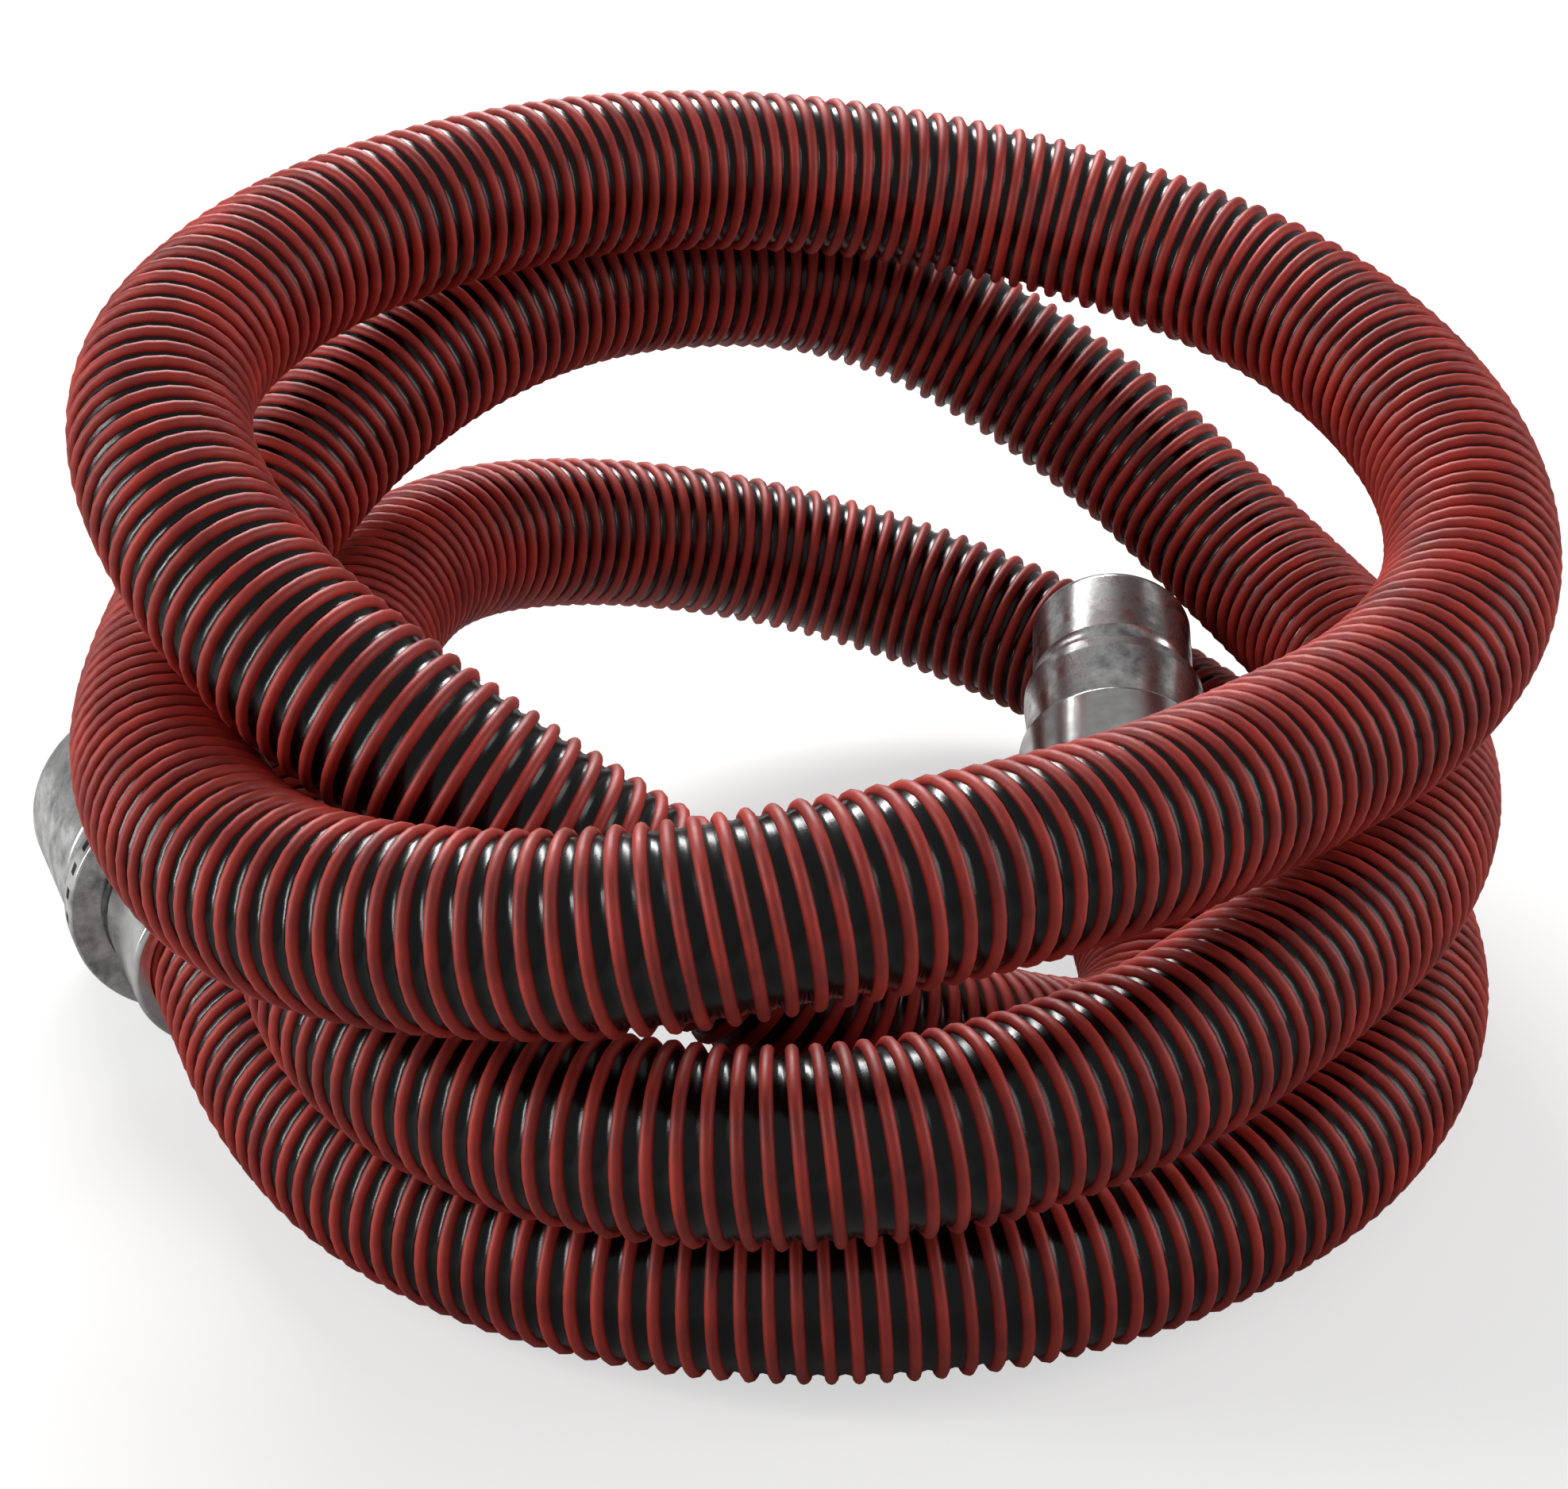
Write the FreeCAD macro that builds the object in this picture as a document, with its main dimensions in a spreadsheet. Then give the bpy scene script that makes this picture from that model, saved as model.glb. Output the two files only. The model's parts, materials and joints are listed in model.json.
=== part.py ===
import FreeCAD, Part
import math
import os

# A coiled suction hose with a socket coupling on one end and a spigot on the other.
# Millimetres, +Z up, the floor at height 0, the origin under the middle of the whole assembly.

doc = FreeCAD.newDocument("suction_hose")
sheet = doc.addObject("Spreadsheet::Sheet", "sizes")

sizes = {
    # hose
    "hose_outer": 90,           # diameter over the ribs
    "hose_wall": 7,             # from the bore to the crown of the ribs
    "coil_x": 51.3,             # middle of the coil from the origin
    "coil_y": -27.2,
    # hose tails of both fittings
    "shank_wall": 3,
    "shank_length": 58,
    "ferrule_wall": 9,
    "ferrule_length": 60,
    "ferrule_round": 3,
    "bore_taper": 10,           # length of the taper from the tail's bore to the wider one
    # socket coupling, from the seat against the hose to the mouth
    "retainer_gap": 2,          # from the seat to the retaining ring
    "retainer_width": 3,
    "retainer_height": 5,       # how far the ring stands above the hub
    "retainer_groove": 2,       # depth of its groove in the hub
    "hub_rise": 5,              # journal that the collar turns on, over the hose's radius
    "collar_play": 0.06,        # radial clearance of the collar on the hub
    "end_play": 0.4,            # axial clearance at each side of the collar
    "collar_height": 22,        # rim of the collar over the hub
    "collar_rim": 13,           # width of the notched rim
    "collar_skirt": 11,         # width of the plain skirt in front of the rim
    "skirt_step": 3,            # how much lower the skirt stands than the rim
    "collar_round": 1.5,
    "notch_count": 30,
    "notch_width": 6.5,
    "notch_length": 5,
    "notch_depth": 4,
    "socket_wall": 23.25,       # outside of the socket over the spigot's head
    "socket_length": 86,
    "socket_round": 5,
    "socket_clearance": 0.35,   # radial clearance round the spigot
    "gasket_place": 15,         # from the back of the socket to the gasket
    "gasket_width": 6.4,
    "gasket_lap": 5.75,         # gasket's bore under the spigot's head
    "gasket_rise": 4.25,        # gasket's outside over the spigot's head
    "guide_length": 16,         # flared entry of the socket
    "guide_rise": 13,
    # spigot, from the seat against the hose to the open end
    "neck_rise": 2.5,           # foot of the neck over the hose's radius
    "neck_length": 37,
    "shoulder_rise": 5.25,      # shoulder over the head
    "shoulder_land": 8,
    "head_radius": 45.75,
    "head_length": 61,
    "head_round": 6,
    "head_wall": 6.75,
    "groove_radius": 9,
    "groove_depth": 3.5,
    "groove_place": 7.5,        # from the shoulder to the middle of the groove
}

# Sizes that follow from those above.
derived = {
    "hub_radius": "=hose_outer / 2 + hub_rise",
    "collar_radius": "=hub_radius + collar_height",
    "socket_radius": "=head_radius + socket_wall",
    "gasket_inner": "=head_radius - gasket_lap",
    "gasket_outer": "=head_radius + gasket_rise",
    "neck_radius": "=hose_outer / 2 + neck_rise",
    "shoulder_radius": "=head_radius + shoulder_rise",
    "head_bore": "=head_radius - head_wall",
}

for row, (alias, value) in enumerate([*sizes.items(), *derived.items()], start=1):
    cell = "A%d" % row
    sheet.set(cell, str(value))
    sheet.setAlias(cell, alias)
doc.recompute()

# Each fitting's seat is the plane where the end of the hose butts against it, measured from
# the middle of the coil. Its direction points out of its mouth.
coupler_seat = FreeCAD.Vector(-353, -2, 73)
coupler_direction = FreeCAD.Vector(-0.4, 0.916, 0.035)
adapter_lift = 52               # height of the spigot's seat less its shoulder's radius
adapter_seat = FreeCAD.Vector(141, 105, adapter_lift + float(sheet.get("shoulder_radius")))
adapter_direction = FreeCAD.Vector(0.05, 0.962, 0.264)
lead = 71                       # straight hose inside and just behind each ferrule

# The coil rises counter-clockwise. Each row is one turn from the left of the coil, with a
# value at every eighth of a turn: the radius of the hose's middle line, then its height.
turn_radii = [
    [330, 320, 295, 290, 290, 300, 350, 350],
    [275, 335, 325, 275, 290, 339, 385, 337],
    [348, 383, 310, 250, 310, 361, 320, 310],
    [363, 282],
]
turn_heights = [
    [50, 45.5, 46, 49, 47, 49, 100, 170],
    [169, 140, 146, 155, 143, 146, 283, 301],
    [235, 234, 268, 250, 258, 310, 367, 391],
    [361, 265],
]
coil_begins = 1                 # the coupling's end joins the coil at this eighth

# From the coupling to the coil, and from the coil down inside it to the spigot.
approach = [(-289, -147, 52)]
descent = [(-85, -216, 192), (-5, -205, 130), (72, -170, 82), (130, -128, 52),
           (157, -65, 54), (151, -10, 68)]

# A bend's arc takes this share of the shorter of its two runs.
arc_share = 0.45


def size(alias):
    return float(sheet.get(alias))


def between(values, index, share):
    """Value on a smooth curve through evenly spaced values."""
    last = len(values) - 1
    here = values[index]
    after = values[min(index + 1, last)]
    before = values[index - 1] if index > 0 else 2 * here - after
    beyond = values[index + 2] if index + 2 <= last else 2 * after - here
    slope = (after - before) / 2
    next_slope = (beyond - here) / 2
    rise = after - here
    square = 3 * rise - 2 * slope - next_slope
    cube = slope + next_slope - 2 * rise
    return here + share * (slope + share * (square + share * cube))


def coil_points():
    """Sixteen points a turn: every station and the point halfway to the next one."""
    radii = sum(turn_radii, [])
    heights = sum(turn_heights, [])
    points = []
    for half in range(2 * coil_begins, 2 * len(radii) - 1):
        index, odd = divmod(half, 2)
        radius = between(radii, index, odd / 2)
        height = between(heights, index, odd / 2)
        angle = math.pi * (1 + half / 8)
        points.append(FreeCAD.Vector(radius * math.cos(angle), radius * math.sin(angle), height))
    return points


def route():
    """Corner points of the hose's middle line, from the socket coupling to the spigot."""
    points = [coupler_seat, coupler_seat - unit(coupler_direction) * lead]
    points += [FreeCAD.Vector(*point) for point in approach]
    points += coil_points()
    points += [FreeCAD.Vector(*point) for point in descent]
    points += [adapter_seat - unit(adapter_direction) * lead, adapter_seat]
    middle = FreeCAD.Vector(size("coil_x"), size("coil_y"), 0)
    return [point + middle for point in points]


def unit(vector):
    return FreeCAD.Vector(vector).normalize()


def bends(points):
    """Three points of the arc that rounds each corner, and the arcs' radii."""
    arcs = []
    radii = []
    for before, corner, after in zip(points, points[1:], points[2:]):
        incoming = unit(corner - before)
        outgoing = unit(after - corner)
        half_turn = incoming.getAngle(outgoing) / 2
        tangent = arc_share * min((corner - before).Length, (after - corner).Length)
        radius = tangent / math.tan(half_turn)
        arc_start = corner - incoming * tangent
        arc_end = corner + outgoing * tangent
        to_middle = unit(outgoing - incoming)
        arc_middle = corner + to_middle * (radius / math.cos(half_turn) - radius)
        arcs.append((arc_start, arc_middle, arc_end))
        radii.append(radius)
    return arcs, radii


def hose_section(name, arcs, start, end):
    """Hollow tube along the arcs and the straight runs between them, from start to end."""
    edges = []
    reached = start
    for arc_start, arc_middle, arc_end in arcs:
        edges.append(Part.LineSegment(reached, arc_start).toShape())
        edges.append(Part.Arc(arc_start, arc_middle, arc_end).toShape())
        reached = arc_end
    edges.append(Part.LineSegment(reached, end).toShape())
    path = Part.Wire(edges)
    direction = edges[0].tangentAt(edges[0].FirstParameter)
    outer = size("hose_outer") / 2
    inner = outer - size("hose_wall")
    tubes = []
    for radius in (outer, inner):
        ring = Part.Wire(Part.Circle(start, direction, radius).toShape())
        tubes.append(path.makePipeShell([ring], True, False))
    section = doc.addObject("Part::Feature", name)
    section.Shape = tubes[0].cut(tubes[1])
    section.Label = name
    expected = math.pi * (outer ** 2 - inner ** 2) * path.Length
    ratio = section.Shape.Volume / expected
    print("%s: length %.0f mm, volume over section times length %.4f" % (name, path.Length, ratio))
    return section


def hose():
    """The hose in four sections that meet face to face in the middle of a straight run."""
    points = route()
    arcs, radii = bends(points)
    print("bend radii", " ".join("%.0f" % radius for radius in radii))
    first_coil = 2 + len(approach)
    turn = 16
    stops = [first_coil + count * turn - 2 for count in (1, 2, 3)]
    names = ["hose_bottom_turn", "hose_middle_turn", "hose_top_turn", "hose_inner_tail"]
    sections = []
    start = points[0]
    begin = 0
    for name, stop in zip(names, stops + [len(arcs)]):
        if stop < len(arcs):
            end = (arcs[stop - 1][2] + arcs[stop][0]) / 2
        else:
            end = points[-1]
        sections.append(hose_section(name, arcs[begin:stop], start, end))
        start = end
        begin = stop
    return sections


def bar(name, start, length, radius, end_radius=None):
    """Cylinder or cone standing on the fitting's axis; the sizes are expressions."""
    if end_radius is None:
        piece = doc.addObject("Part::Cylinder", name)
        piece.setExpression("Radius", radius)
    else:
        piece = doc.addObject("Part::Cone", name)
        piece.setExpression("Radius1", radius)
        piece.setExpression("Radius2", end_radius)
    piece.setExpression("Height", length)
    piece.setExpression("Placement.Base.z", start)
    return piece


def fused(name, pieces):
    joined = doc.addObject("Part::MultiFuse", name)
    joined.Shapes = pieces
    joined.Refine = True
    return joined


def cut(name, base, tools):
    """Base less the tools, fused first where there are several."""
    remains = doc.addObject("Part::Cut", name)
    remains.Base = base
    remains.Tool = tools[0] if len(tools) == 1 else fused(name + "_tools", tools)
    remains.Refine = True
    return remains


def rounded(name, base, radius, rims):
    """Base with the circular edges at the given (height, radius) pairs rounded."""
    doc.recompute()
    numbers = []
    for number, edge in enumerate(base.Shape.Edges, start=1):
        if not isinstance(edge.Curve, Part.Circle):
            continue
        for height, rim in rims:
            if abs(edge.Curve.Center.z - height) < 0.01 and abs(edge.Curve.Radius - rim) < 0.01:
                numbers.append(number)
    if len(numbers) < len(rims):
        raise ValueError("%s: found %d of %d rims" % (name, len(numbers), len(rims)))
    smooth = doc.addObject("Part::Fillet", name)
    smooth.Base = base
    smooth.Edges = [(number, radius, radius) for number in numbers]
    return smooth


def place(piece, label, seat, direction):
    """Move a finished sub-part from its own axis to its fitting's place."""
    middle = FreeCAD.Vector(size("coil_x"), size("coil_y"), 0)
    turned = FreeCAD.Rotation(FreeCAD.Vector(0, 0, 1), unit(direction))
    piece.Placement = FreeCAD.Placement(seat + middle, turned)
    piece.Label = label
    return piece


def ferrule(name):
    """Crimped sleeve round the end of the hose, behind the seat."""
    outside = "sizes.hose_outer / 2 + sizes.ferrule_wall"
    sleeve = bar(name + "_sleeve", "-sizes.ferrule_length", "sizes.ferrule_length", outside)
    bore = bar(name + "_bore", "-sizes.ferrule_length", "sizes.ferrule_length", "sizes.hose_outer / 2")
    ring = cut(name + "_ring", sleeve, [bore])
    rim = size("hose_outer") / 2 + size("ferrule_wall")
    rims = [(-size("ferrule_length"), rim), (0, rim)]
    return rounded(name, ring, size("ferrule_round"), rims)


def shank(name):
    """Hose tail and its bore, behind the seat."""
    outside = "sizes.hose_outer / 2 - sizes.hose_wall"
    tail = bar(name + "_tail", "-sizes.shank_length", "sizes.shank_length", outside)
    inside = outside + " - sizes.shank_wall"
    bore = bar(name + "_tail_bore", "-sizes.shank_length", "sizes.shank_length", inside)
    taper = bar(name + "_taper", "0", "sizes.bore_taper", inside, "sizes.head_bore")
    return tail, bore, taper


def coupler_stations():
    """Heights along the socket coupling, as expressions."""
    retainer = "sizes.retainer_gap"
    collar = retainer + " + sizes.retainer_width + sizes.end_play"
    skirt = collar + " + sizes.collar_rim"
    socket = skirt + " + sizes.collar_skirt + sizes.end_play"
    gasket = socket + " + sizes.gasket_place"
    mouth = socket + " + sizes.socket_length"
    return {"retainer": retainer, "collar": collar, "skirt": skirt, "socket": socket,
            "gasket": gasket, "mouth": mouth}


def coupler_body():
    """Hose tail, hub for the collar and socket with its flared entry."""
    stations = coupler_stations()
    socket = stations["socket"]
    gasket = stations["gasket"]
    tail, tail_bore, taper = shank("coupler")
    hub = bar("coupler_hub", "0", socket, "sizes.hub_radius")
    cup = bar("coupler_cup", socket, "sizes.socket_length", "sizes.socket_radius")
    solid = fused("coupler_solid", [tail, hub, cup])
    seat = gasket + " + sizes.gasket_width"
    fit = "sizes.head_radius + sizes.socket_clearance"
    passage = bar("coupler_passage", "sizes.bore_taper", gasket + " - sizes.bore_taper",
                  "sizes.head_bore")
    pocket = bar("coupler_pocket", gasket, "sizes.gasket_width", "sizes.gasket_outer")
    depth = "sizes.socket_length - sizes.gasket_place - sizes.gasket_width"
    bore = bar("coupler_bore", seat, depth, fit)
    guide = bar("coupler_guide", stations["mouth"] + " - sizes.guide_length",
                "sizes.guide_length", fit, fit + " + sizes.guide_rise")
    groove_floor = "sizes.hub_radius - sizes.retainer_groove"
    retainer = stations["retainer"]
    groove = bar("coupler_groove", retainer, "sizes.retainer_width", "sizes.hub_radius + 1")
    groove_core = bar("coupler_groove_core", retainer, "sizes.retainer_width", groove_floor)
    ring = cut("coupler_groove_ring", groove, [groove_core])
    hollow = cut("coupler_hollow", solid, [tail_bore, taper, passage, pocket, bore, guide, ring])
    doc.recompute()
    rims = [(cup.Placement.Base.z, size("socket_radius")),
            (cup.Placement.Base.z + size("socket_length"), size("socket_radius"))]
    body = rounded("coupler_body", hollow, size("socket_round"), rims)
    return place(body, "coupler_body", coupler_seat, coupler_direction)


def coupler_retainer():
    """Ring in the hub's groove that keeps the collar on."""
    retainer = coupler_stations()["retainer"]
    outside = bar("retainer_outside", retainer, "sizes.retainer_width",
                  "sizes.hub_radius + sizes.retainer_height")
    inside = bar("retainer_inside", retainer, "sizes.retainer_width",
                 "sizes.hub_radius - sizes.retainer_groove")
    ring = cut("coupler_retainer", outside, [inside])
    return place(ring, "coupler_retainer", coupler_seat, coupler_direction)


def coupler_collar():
    """Turning collar with spanner notches round its rim."""
    collar = coupler_stations()["collar"]
    skirt = coupler_stations()["skirt"]
    rim = bar("collar_rim_disc", collar, "sizes.collar_rim", "sizes.collar_radius")
    skirt_disc = bar("collar_skirt_disc", skirt, "sizes.collar_skirt",
                     "sizes.collar_radius - sizes.skirt_step")
    solid = fused("collar_solid", [rim, skirt_disc])
    bore = bar("collar_bore", collar, "sizes.collar_rim + sizes.collar_skirt",
               "sizes.hub_radius + sizes.collar_play")
    ring = cut("collar_ring", solid, [bore])
    doc.recompute()
    front = skirt_disc.Placement.Base.z + size("collar_skirt")
    rims = [(rim.Placement.Base.z, size("collar_radius")),
            (front, size("collar_radius") - size("skirt_step"))]
    smooth = rounded("collar_smooth", ring, size("collar_round"), rims)
    count = int(size("notch_count"))
    notches = []
    floor = "(sizes.collar_radius - sizes.notch_depth)"
    across = "(sizes.notch_width / 2)"
    for index in range(count):
        angle = 360 * index / count
        cosine = "cos(%g deg)" % angle
        sine = "sin(%g deg)" % angle
        notch = doc.addObject("Part::Box", "collar_notch_%d" % index)
        notch.setExpression("Length", "sizes.notch_depth + 1")
        notch.setExpression("Width", "sizes.notch_width")
        notch.setExpression("Height", "sizes.notch_length")
        notch.setExpression("Placement.Base.x", "%s * %s + %s * %s" % (cosine, floor, sine, across))
        notch.setExpression("Placement.Base.y", "%s * %s - %s * %s" % (sine, floor, cosine, across))
        notch.setExpression("Placement.Base.z",
                            collar + " + (sizes.collar_rim - sizes.notch_length) / 2")
        notch.Placement.Rotation = FreeCAD.Rotation(FreeCAD.Vector(0, 0, 1), angle)
        notches.append(notch)
    notched = cut("coupler_collar", smooth, notches)
    return place(notched, "coupler_collar", coupler_seat, coupler_direction)


def coupler_gasket():
    """Sealing ring at the bottom of the socket."""
    gasket = coupler_stations()["gasket"]
    outside = bar("gasket_outside", gasket, "sizes.gasket_width", "sizes.gasket_outer")
    inside = bar("gasket_inside", gasket, "sizes.gasket_width", "sizes.gasket_inner")
    ring = cut("coupler_gasket", outside, [inside])
    return place(ring, "coupler_gasket", coupler_seat, coupler_direction)


def adapter_body():
    """Hose tail, tapered neck with a shoulder, and the grooved spigot head."""
    tail, tail_bore, taper = shank("adapter")
    shoulder = "sizes.neck_length + sizes.shoulder_land"
    neck = bar("adapter_neck", "0", "sizes.neck_length", "sizes.neck_radius", "sizes.shoulder_radius")
    land = bar("adapter_land", "sizes.neck_length", "sizes.shoulder_land", "sizes.shoulder_radius")
    head = bar("adapter_head", shoulder, "sizes.head_length", "sizes.head_radius")
    solid = fused("adapter_solid", [tail, neck, land, head])
    bore = bar("adapter_bore", "sizes.bore_taper", shoulder + " + sizes.head_length - sizes.bore_taper",
               "sizes.head_bore")
    groove = doc.addObject("Part::Torus", "adapter_groove")
    groove.setExpression("Radius1", "sizes.head_radius - sizes.groove_depth + sizes.groove_radius")
    groove.setExpression("Radius2", "sizes.groove_radius")
    groove.setExpression("Placement.Base.z", shoulder + " + sizes.groove_place")
    hollow = cut("adapter_hollow", solid, [tail_bore, taper, bore, groove])
    doc.recompute()
    end = head.Placement.Base.z + size("head_length")
    body = rounded("adapter_body", hollow, size("head_round"), [(end, size("head_radius"))])
    return place(body, "adapter_body", adapter_seat, adapter_direction)


nodes = hose()
nodes.append(coupler_body())
nodes.append(coupler_retainer())
nodes.append(coupler_collar())
nodes.append(coupler_gasket())
nodes.append(place(ferrule("coupler_ferrule"), "coupler_ferrule", coupler_seat, coupler_direction))
nodes.append(adapter_body())
nodes.append(place(ferrule("adapter_ferrule"), "adapter_ferrule", adapter_seat, adapter_direction))
doc.recompute()

for item in doc.Objects:
    if "Invalid" in item.State or "Error" in item.State:
        raise ValueError("%s did not build: %s" % (item.Name, item.State))

os.makedirs("parts", exist_ok=True)
for node in nodes:
    if node.Shape.isNull() or not node.Shape.isValid() or len(node.Shape.Solids) != 1:
        raise ValueError("%s has no single valid solid" % node.Label)
    node.Shape.exportStep("parts/%s.step" % node.Label)

whole = Part.makeCompound([node.Shape for node in nodes]).BoundBox
print("box from (%.1f, %.1f, %.1f) to (%.1f, %.1f, %.1f)" % (
    whole.XMin, whole.YMin, whole.ZMin, whole.XMax, whole.YMax, whole.ZMax))
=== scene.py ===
import bisect
import json
import math

import bpy
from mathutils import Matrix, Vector


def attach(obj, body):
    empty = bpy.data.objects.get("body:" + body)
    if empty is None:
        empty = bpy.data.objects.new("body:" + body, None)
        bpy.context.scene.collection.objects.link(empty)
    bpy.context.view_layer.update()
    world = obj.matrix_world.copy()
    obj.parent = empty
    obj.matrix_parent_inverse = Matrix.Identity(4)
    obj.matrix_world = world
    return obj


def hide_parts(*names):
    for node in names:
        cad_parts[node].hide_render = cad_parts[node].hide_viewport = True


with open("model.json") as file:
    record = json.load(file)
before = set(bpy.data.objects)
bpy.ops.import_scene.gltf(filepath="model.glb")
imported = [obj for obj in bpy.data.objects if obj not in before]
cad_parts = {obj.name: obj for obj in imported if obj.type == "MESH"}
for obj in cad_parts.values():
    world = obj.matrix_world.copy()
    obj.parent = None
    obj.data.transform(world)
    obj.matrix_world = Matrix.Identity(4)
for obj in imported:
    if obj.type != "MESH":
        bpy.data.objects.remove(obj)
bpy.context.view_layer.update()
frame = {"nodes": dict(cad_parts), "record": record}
cadNodes = frame["nodes"]
scene = bpy.context.scene
print("frame loaded")


def linear(hexColour):
    values = [int(hexColour[i:i + 2], 16) / 255 for i in (1, 3, 5)]
    return [v / 12.92 if v <= 0.04045 else ((v + 0.055) / 1.055) ** 2.4 for v in values] + [1.0]


def addNode(material, kind, inputs=None, **settings):
    node = material.node_tree.nodes.new(kind)
    for name, value in settings.items():
        setattr(node, name, value)
    for socket, value in (inputs or {}).items():
        if isinstance(value, bpy.types.NodeSocket):
            material.node_tree.links.new(value, node.inputs[socket])
        else:
            node.inputs[socket].default_value = value
    return node


def newMaterial(name):
    material = bpy.data.materials.new(name)
    material.use_nodes = True
    material.node_tree.nodes.clear()
    return material


def setRamp(ramp, stops):
    elements = ramp.color_ramp.elements
    while len(elements) < len(stops):
        elements.new(0.5)
    for element, (place, colour) in zip(elements, stops):
        element.position = place
        element.color = colour


def mm(size):
    return 1000 / size    # noise scale for a feature of that many millimetres


black = (0, 0, 0, 1)
white = (1, 1, 1, 1)


def addMesh(name, points, faces, material, body, slot):
    mesh = bpy.data.meshes.new(name)
    mesh.from_pydata(points, [], faces)
    mesh.materials.append(material)
    for polygon in mesh.polygons:
        polygon.use_smooth = True
    piece = bpy.data.objects.new(name, mesh)
    scene.collection.objects.link(piece)
    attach(piece, body)
    return piece


def epdmRubber():
    # EPDM wall, extruded and vulcanised: near black, slick where clean, with dull grey scuffs
    look = {"colour": "#090605", "dust": "#332d2a", "roughClean": 0.16, "roughDull": 0.3,
            "specular": 0.35, "patch": 24, "grain": 0.9, "grainHeight": 0.0002, "scuff": 7,
            "scuffStart": 0.66, "scuffFull": 0.8}
    material = newMaterial("black EPDM rubber")
    place = addNode(material, "ShaderNodeTexCoord").outputs["Object"]
    patches = addNode(material, "ShaderNodeTexNoise",
                      {"Vector": place, "Scale": mm(look["patch"]), "Detail": 5, "Roughness": 0.6})
    scuffs = addNode(material, "ShaderNodeTexNoise",
                     {"Vector": place, "Scale": mm(look["scuff"]), "Detail": 6, "Roughness": 0.7})
    marks = addNode(material, "ShaderNodeValToRGB", {"Fac": scuffs.outputs["Fac"]})
    setRamp(marks, [(look["scuffStart"], black), (look["scuffFull"], white)])
    colour = addNode(material, "ShaderNodeMix",
                     {"Factor": marks.outputs["Color"], "A": linear(look["colour"]),
                      "B": linear(look["dust"])}, data_type="RGBA")
    rough = addNode(material, "ShaderNodeMapRange",
                    {"Value": patches.outputs["Fac"], "From Min": 0.35, "From Max": 0.65,
                     "To Min": look["roughClean"], "To Max": look["roughDull"]})
    grain = addNode(material, "ShaderNodeTexNoise",
                    {"Vector": place, "Scale": mm(look["grain"]), "Detail": 3})
    bump = addNode(material, "ShaderNodeBump",
                   {"Height": grain.outputs["Fac"], "Strength": 0.25, "Distance": look["grainHeight"]})
    shader = addNode(material, "ShaderNodeBsdfPrincipled",
                     {"Base Color": colour.outputs["Result"], "Roughness": rough.outputs["Result"],
                      "Normal": bump.outputs["Normal"], "IOR": 1.52,
                      "Specular IOR Level": look["specular"]})
    addNode(material, "ShaderNodeOutputMaterial", {"Surface": shader.outputs["BSDF"]})
    return material


def polyethyleneRib():
    # polyethylene helix, extruded: brick red, satin, darker in broad patches, with pale flecks
    look = {"colour": "#b8362b", "deep": "#8c261e", "scratch": "#cf9a8e", "roughness": 0.5,
            "shade": 30, "speck": 5, "speckStart": 0.68, "speckFull": 0.8, "speckHeight": 0.0002}
    material = newMaterial("brick red polyethylene")
    place = addNode(material, "ShaderNodeTexCoord").outputs["Object"]
    shade = addNode(material, "ShaderNodeTexNoise",
                    {"Vector": place, "Scale": mm(look["shade"]), "Detail": 4})
    blend = addNode(material, "ShaderNodeMapRange",
                    {"Value": shade.outputs["Fac"], "From Min": 0.35, "From Max": 0.65})
    base = addNode(material, "ShaderNodeMix",
                   {"Factor": blend.outputs["Result"], "A": linear(look["colour"]),
                    "B": linear(look["deep"])}, data_type="RGBA")
    specks = addNode(material, "ShaderNodeTexNoise",
                     {"Vector": place, "Scale": mm(look["speck"]), "Detail": 6, "Roughness": 0.75})
    marks = addNode(material, "ShaderNodeValToRGB", {"Fac": specks.outputs["Fac"]})
    setRamp(marks, [(look["speckStart"], black), (look["speckFull"], white)])
    colour = addNode(material, "ShaderNodeMix",
                     {"Factor": marks.outputs["Color"], "A": base.outputs["Result"],
                      "B": linear(look["scratch"])}, data_type="RGBA")
    rough = addNode(material, "ShaderNodeMapRange",
                    {"Value": specks.outputs["Fac"], "From Min": 0.3, "From Max": 0.7,
                     "To Min": look["roughness"] - 0.06, "To Max": look["roughness"] + 0.1})
    bump = addNode(material, "ShaderNodeBump",
                   {"Height": specks.outputs["Fac"], "Strength": 0.2, "Distance": look["speckHeight"]})
    shader = addNode(material, "ShaderNodeBsdfPrincipled",
                     {"Base Color": colour.outputs["Result"], "Roughness": rough.outputs["Result"],
                      "Normal": bump.outputs["Normal"], "IOR": 1.5})
    addNode(material, "ShaderNodeOutputMaterial", {"Surface": shader.outputs["BSDF"]})
    return material


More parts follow.
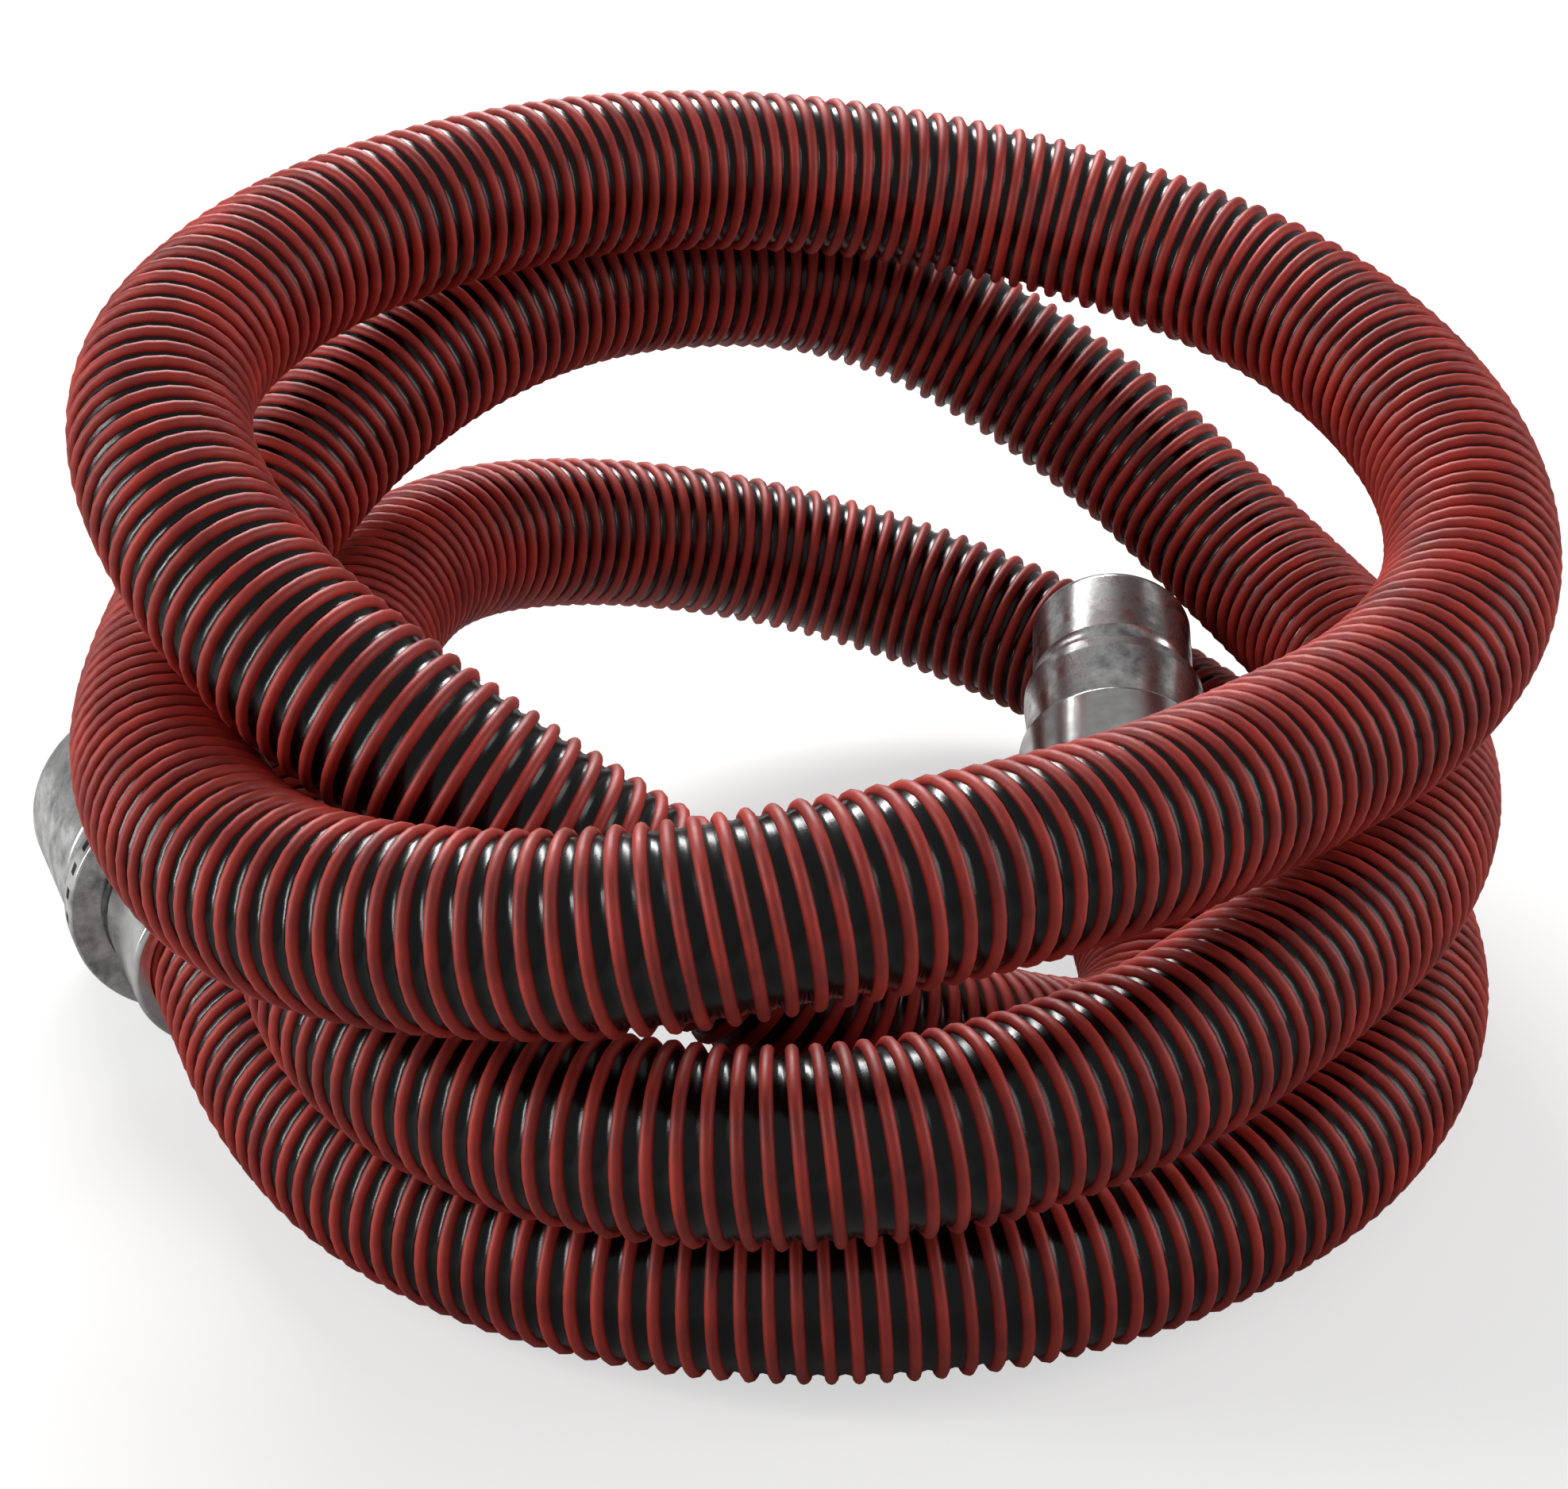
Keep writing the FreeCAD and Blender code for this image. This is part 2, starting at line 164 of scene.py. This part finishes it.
def bareMetal(name, look):
    material = newMaterial(name)
    place = addNode(material, "ShaderNodeTexCoord").outputs["Object"]
    clouds = addNode(material, "ShaderNodeTexNoise",
                     {"Vector": place, "Scale": mm(look["mottle"]), "Detail": 8, "Roughness": 0.65})
    blend = addNode(material, "ShaderNodeMapRange",
                    {"Value": clouds.outputs["Fac"], "From Min": 0.35, "From Max": 0.68})
    colour = addNode(material, "ShaderNodeMix",
                     {"Factor": blend.outputs["Result"], "A": linear(look["light"]),
                      "B": linear(look["dark"])}, data_type="RGBA")
    rough = addNode(material, "ShaderNodeMapRange",
                    {"Value": clouds.outputs["Fac"], "From Min": 0.35, "From Max": 0.68,
                     "To Min": look["roughLow"], "To Max": look["roughHigh"]})
    grain = addNode(material, "ShaderNodeTexNoise",
                    {"Vector": place, "Scale": mm(look["pits"]), "Detail": 3, "Roughness": 0.7})
    bump = addNode(material, "ShaderNodeBump",
                   {"Height": grain.outputs["Fac"], "Strength": 0.12, "Distance": look["pitDepth"]})
    shader = addNode(material, "ShaderNodeBsdfPrincipled",
                     {"Base Color": colour.outputs["Result"], "Roughness": rough.outputs["Result"],
                      "Normal": bump.outputs["Normal"], "Metallic": 1.0})
    addNode(material, "ShaderNodeOutputMaterial", {"Surface": shader.outputs["BSDF"]})
    return material


def nitrileRubber():
    # nitrile gasket, moulded: matte black with a dusty bloom
    look = {"colour": "#0d0d0e", "bloom": "#242426", "roughness": 0.62, "patch": 12}
    material = newMaterial("nitrile gasket")
    place = addNode(material, "ShaderNodeTexCoord").outputs["Object"]
    bloom = addNode(material, "ShaderNodeTexNoise",
                    {"Vector": place, "Scale": mm(look["patch"]), "Detail": 4})
    colour = addNode(material, "ShaderNodeMix",
                     {"Factor": bloom.outputs["Fac"], "A": linear(look["colour"]),
                      "B": linear(look["bloom"])}, data_type="RGBA")
    shader = addNode(material, "ShaderNodeBsdfPrincipled",
                     {"Base Color": colour.outputs["Result"], "Roughness": look["roughness"]})
    addNode(material, "ShaderNodeOutputMaterial", {"Surface": shader.outputs["BSDF"]})
    return material


rubber = epdmRubber()
rib = polyethyleneRib()
# die-cast aluminium, tumbled: bright satin, clouded by handling
cast = bareMetal("die-cast aluminium",
                 {"light": "#f2f2f0", "dark": "#8a8a8d", "roughLow": 0.18, "roughHigh": 0.4,
                  "mottle": 14, "pits": 1.2, "pitDepth": 0.0001})
# drawn aluminium sleeve: smoother and cleaner than the castings
drawn = bareMetal("drawn aluminium",
                  {"light": "#e4e4e2", "dark": "#b5b5b4", "roughLow": 0.16, "roughHigh": 0.3,
                   "mottle": 30, "pits": 0.8, "pitDepth": 0.0001})
# spring steel ring: darker, with a fine grain
spring = bareMetal("spring steel",
                   {"light": "#8d8d90", "dark": "#57575a", "roughLow": 0.25, "roughHigh": 0.4,
                    "mottle": 9, "pits": 0.6, "pitDepth": 0.0001})
gasket = nitrileRubber()
print("materials made")


# the hose's route has the solid model's points, in metres from the middle of the coil
route = {
    "couplerSeat": (-0.353, -0.002, 0.073),
    "couplerDirection": (-0.4, 0.916, 0.035),
    "socketMiddle": 0.0755,   # from the coupling's seat to the middle of its socket
    "adapterSeat": (0.141, 0.105, 0.103),
    "adapterDirection": (0.05, 0.962, 0.264),
    "lead": 0.071,            # straight hose inside and just behind each ferrule
    "exitRise": 0.02,         # how far the cord's exit is above the middle of the seat
    "order": 3,
    "resolution": 24,
    "coilBegins": 1,          # eighth of a turn where the coupling's end joins the coil
    "radii": [
        [0.330, 0.320, 0.295, 0.290, 0.290, 0.300, 0.350, 0.350],
        [0.275, 0.335, 0.325, 0.275, 0.290, 0.339, 0.385, 0.337],
        [0.348, 0.383, 0.310, 0.250, 0.310, 0.361, 0.320, 0.310],
        [0.363, 0.282],
    ],
    "heights": [
        [0.050, 0.0455, 0.046, 0.049, 0.047, 0.049, 0.100, 0.170],
        [0.169, 0.140, 0.146, 0.155, 0.143, 0.146, 0.283, 0.301],
        [0.235, 0.234, 0.268, 0.250, 0.258, 0.310, 0.367, 0.391],
        [0.361, 0.265],
    ],
    "approach": [(-0.289, -0.147, 0.052)],
    "descent": [(-0.085, -0.216, 0.192), (-0.005, -0.205, 0.130), (0.072, -0.170, 0.082),
                (0.130, -0.128, 0.052), (0.157, -0.065, 0.054), (0.151, -0.010, 0.068)],
}

couplerSeat = Vector(route["couplerSeat"])
couplerDirection = Vector(route["couplerDirection"]).normalized()
adapterSeat = Vector(route["adapterSeat"])
adapterDirection = Vector(route["adapterDirection"]).normalized()
socket = next(mount for mount in frame["record"]["mounts"] if mount["name"] == "coupler_socket")
coilMiddle = Vector(socket["pos_m"]) - couplerSeat - couplerDirection * route["socketMiddle"]

camera = {"fromCoil": (-0.0426, -1.4216, 0.9525), "downward": 28.9, "lens": 71.65, "shift": -0.0023}
cameraData = bpy.data.cameras.new("camera")
cameraData.lens = camera["lens"]
cameraData.shift_x = camera["shift"]
cameraObject = bpy.data.objects.new("camera", cameraData)
cameraObject.location = coilMiddle + Vector(camera["fromCoil"])
cameraObject.rotation_euler = (math.radians(90 - camera["downward"]), 0, 0)
scene.collection.objects.link(cameraObject)
scene.camera = cameraObject


def between(values, index, share):
    # value on a smooth curve through evenly spaced values
    last = len(values) - 1
    here = values[index]
    after = values[min(index + 1, last)]
    before = values[index - 1] if index > 0 else 2 * here - after
    beyond = values[index + 2] if index + 2 <= last else 2 * after - here
    slope = (after - before) / 2
    nextSlope = (beyond - here) / 2
    rise = after - here
    square = 3 * rise - 2 * slope - nextSlope
    cube = slope + nextSlope - 2 * rise
    return here + share * (slope + share * (square + share * cube))


def routePoints():
    radii = sum(route["radii"], [])
    heights = sum(route["heights"], [])
    points = [couplerSeat, couplerSeat - couplerDirection * route["lead"]]
    points += [Vector(point) for point in route["approach"]]
    for half in range(2 * route["coilBegins"], 2 * len(radii) - 1):    # sixteen points a turn
        index, odd = divmod(half, 2)
        radius = between(radii, index, odd / 2)
        angle = math.pi * (1 + half / 8)
        height = between(heights, index, odd / 2)
        points.append(Vector((radius * math.cos(angle), radius * math.sin(angle), height)))
    points += [Vector(point) for point in route["descent"]]
    points += [adapterSeat - adapterDirection * route["lead"], adapterSeat]
    return [point + coilMiddle for point in points]


def middleLine(points):
    # closely spaced points read from one NURBS spline through the route
    curve = bpy.data.curves.new("route", "CURVE")
    curve.dimensions = "3D"
    curve.resolution_u = route["resolution"]
    spline = curve.splines.new("NURBS")
    spline.points.add(len(points) - 1)
    for target, point in zip(spline.points, points):
        target.co = (*point, 1)
    spline.order_u = route["order"]
    spline.use_endpoint_u = True
    holder = bpy.data.objects.new("route", curve)
    scene.collection.objects.link(holder)
    bpy.context.view_layer.update()
    mesh = bpy.data.meshes.new_from_object(holder)
    line = [vertex.co.copy() for vertex in mesh.vertices]
    bpy.data.objects.remove(holder)
    bpy.data.curves.remove(curve)
    bpy.data.meshes.remove(mesh)
    return line


class Track:
    # the middle line with its length and a direction across it that doesn't twist

    def __init__(self, line):
        self.line = line
        self.reach = [0.0]
        for first, second in zip(line, line[1:]):
            self.reach.append(self.reach[-1] + (second - first).length)
        self.along = []
        for index in range(len(line)):
            before = line[max(index - 1, 0)]
            after = line[min(index + 1, len(line) - 1)]
            self.along.append((after - before).normalized())
        side = self.along[0].orthogonal().normalized()
        self.side = []
        for direction in self.along:
            side = (side - direction * side.dot(direction)).normalized()
            self.side.append(side)

    def at(self, distance):
        distance = min(max(distance, 0.0), self.reach[-1])
        index = min(bisect.bisect_right(self.reach, distance), len(self.reach) - 1) - 1
        share = (distance - self.reach[index]) / (self.reach[index + 1] - self.reach[index])
        place = self.line[index].lerp(self.line[index + 1], share)
        along = self.along[index].lerp(self.along[index + 1], share).normalized()
        side = self.side[index].lerp(self.side[index + 1], share)
        side = (side - along * side.dot(along)).normalized()
        return place, along, side, along.cross(side)


hose = {
    "diameter": 0.090,        # over the ribs
    "wallRadius": 0.0424,     # outside of the rubber where it climbs under a rib
    "wallDip": 0.0021,        # how far it sinks between two ribs
    "ribPitch": 0.0116,
    "ribWidth": 0.0066,
    "ribRoot": 0.0402,        # where the rib leaves the rubber
    "ribFullness": 0.8,       # 1 is a plain arch, less is squarer
    "stepsPerTurn": 28,
    "wallSteps": 6,
    "ribSteps": 6,
}


def helixSteps(track):
    # turning steps of the helix over the whole hose: distance along it, and angle
    perTurn = hose["stepsPerTurn"]
    count = int(track.reach[-1] / hose["ribPitch"] * perTurn)
    for step in range(count):
        yield step, step / perTurn * hose["ribPitch"], 2 * math.pi * step / perTurn


def wallMesh(track):
    # each turning step is a row across one pitch, whose last quad meets the row one turn on
    points = []
    faces = []
    across = hose["wallSteps"]
    perTurn = hose["stepsPerTurn"]
    count = 0
    for step, distance, angle in helixSteps(track):
        for part in range(across):
            share = part / across
            place, along, side, up = track.at(distance + share * hose["ribPitch"])
            radius = hose["wallRadius"] - hose["wallDip"] * math.sin(math.pi * share) ** 2
            points.append(place + (side * math.cos(angle) + up * math.sin(angle)) * radius)
        count = step + 1
    for step in range(count - 1):
        first = step * across
        for low in range(first, first + across - 1):
            faces.append((low, low + across, low + across + 1, low + 1))
        if step + perTurn + 1 < count:
            last = first + across - 1
            turnOn = (step + perTurn) * across
            faces.append((last, last + across, turnOn + across, turnOn))
    return points, faces


def ribMesh(track):
    # each turning step is an arch across the rib, closed underneath
    points = []
    faces = []
    steps = hose["ribSteps"]
    crown = hose["diameter"] / 2
    row = steps + 1
    count = 0
    for step, distance, angle in helixSteps(track):
        place, along, side, up = track.at(distance)
        outward = side * math.cos(angle) + up * math.sin(angle)
        for part in range(row):
            turn = math.pi * part / steps
            sideways = -math.cos(turn) * hose["ribWidth"] / 2
            rise = math.sin(turn) ** hose["ribFullness"] * (crown - hose["ribRoot"])
            points.append(place + along * sideways + outward * (hose["ribRoot"] + rise))
        count = step + 1
    for step in range(count - 1):
        for part in range(steps):
            low = step * row + part
            faces.append((low, low + row, low + row + 1, low + 1))
        first = step * row
        faces.append((first + steps, first + row + steps, first + row, first))
    faces.append(tuple(range(row)))
    faces.append(tuple(reversed(range((count - 1) * row, count * row))))
    return points, faces


line = middleLine(routePoints())
track = Track(line)
wall = addMesh("hose_wall", *wallMesh(track), rubber, "hose", "hose_rubber")
helix = addMesh("hose_rib", *ribMesh(track), rib, "hose", "hose_rubber")
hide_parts("hose_bottom_turn", "hose_middle_turn", "hose_top_turn", "hose_inner_tail")
print("hose wound, %.2f m" % track.reach[-1])

# the fittings keep the solid model's shapes and get their real finishes
finishes = {
    "coupler_body": cast,
    "coupler_collar": cast,
    "coupler_retainer": spring,
    "coupler_gasket": gasket,
    "coupler_ferrule": drawn,
    "adapter_body": cast,
    "adapter_ferrule": drawn,
}
for name, material in finishes.items():
    mesh = cadNodes[name].data
    mesh.materials.clear()
    mesh.materials.append(material)
print("fittings finished")

# each light has its name, its place, its width and height in metres, and its watts
stage = {"floor": "#a8a8a7", "paler": "#b2b2b1", "clouds": 1.5, "glow": 0.6, "reach": 12,
         "world": 0.33, "aim": (0.03, -0.03, 0.2),
         "lights": [
             ("key", (-0.7, 2.4, 2.0), (2.0, 0.8), 105),
             ("left", (-2.2, -0.5, 1.0), (0.3, 1.7), 30),
             ("right", (2.4, -0.2, 1.1), (1.2, 1.6), 20),
         ]}


def floorMaterial():
    # backlit acrylic studio floor: matte, very slightly uneven, and its glow is only seen directly
    material = newMaterial("studio floor")
    place = addNode(material, "ShaderNodeTexCoord").outputs["Object"]
    clouds = addNode(material, "ShaderNodeTexNoise",
                     {"Vector": place, "Scale": stage["clouds"], "Detail": 3})
    colour = addNode(material, "ShaderNodeMix",
                     {"Factor": clouds.outputs["Fac"], "A": linear(stage["floor"]),
                      "B": linear(stage["paler"])}, data_type="RGBA")
    ray = addNode(material, "ShaderNodeLightPath")
    glow = addNode(material, "ShaderNodeMath", {0: ray.outputs["Is Camera Ray"], 1: stage["glow"]},
                   operation="MULTIPLY")
    shader = addNode(material, "ShaderNodeBsdfPrincipled",
                     {"Base Color": colour.outputs["Result"], "Roughness": 0.9,
                      "Emission Color": white, "Emission Strength": glow.outputs["Value"]})
    addNode(material, "ShaderNodeOutputMaterial", {"Surface": shader.outputs["BSDF"]})
    return material


reach = stage["reach"]
floorMesh = bpy.data.meshes.new("floor")
corners = [(-reach, -reach, 0), (reach, -reach, 0), (reach, reach, 0), (-reach, reach, 0)]
floorMesh.from_pydata(corners, [], [(0, 1, 2, 3)])
floorMesh.materials.append(floorMaterial())
floorObject = bpy.data.objects.new("floor", floorMesh)
scene.collection.objects.link(floorObject)

for name, place, span, power in stage["lights"]:
    lamp = bpy.data.lights.new(name, "AREA")
    lamp.shape = "RECTANGLE"
    lamp.size, lamp.size_y = span
    lamp.energy = power
    holder = bpy.data.objects.new(name, lamp)
    holder.location = place
    aim = Vector(stage["aim"]) - Vector(place)
    holder.rotation_euler = aim.to_track_quat("-Z", "Y").to_euler()
    scene.collection.objects.link(holder)

world = bpy.data.worlds.new("studio")
world.use_nodes = True
world.node_tree.nodes["Background"].inputs["Color"].default_value = white
world.node_tree.nodes["Background"].inputs["Strength"].default_value = stage["world"]
scene.world = world
scene.view_settings.view_transform = "Standard"
print("stage set")
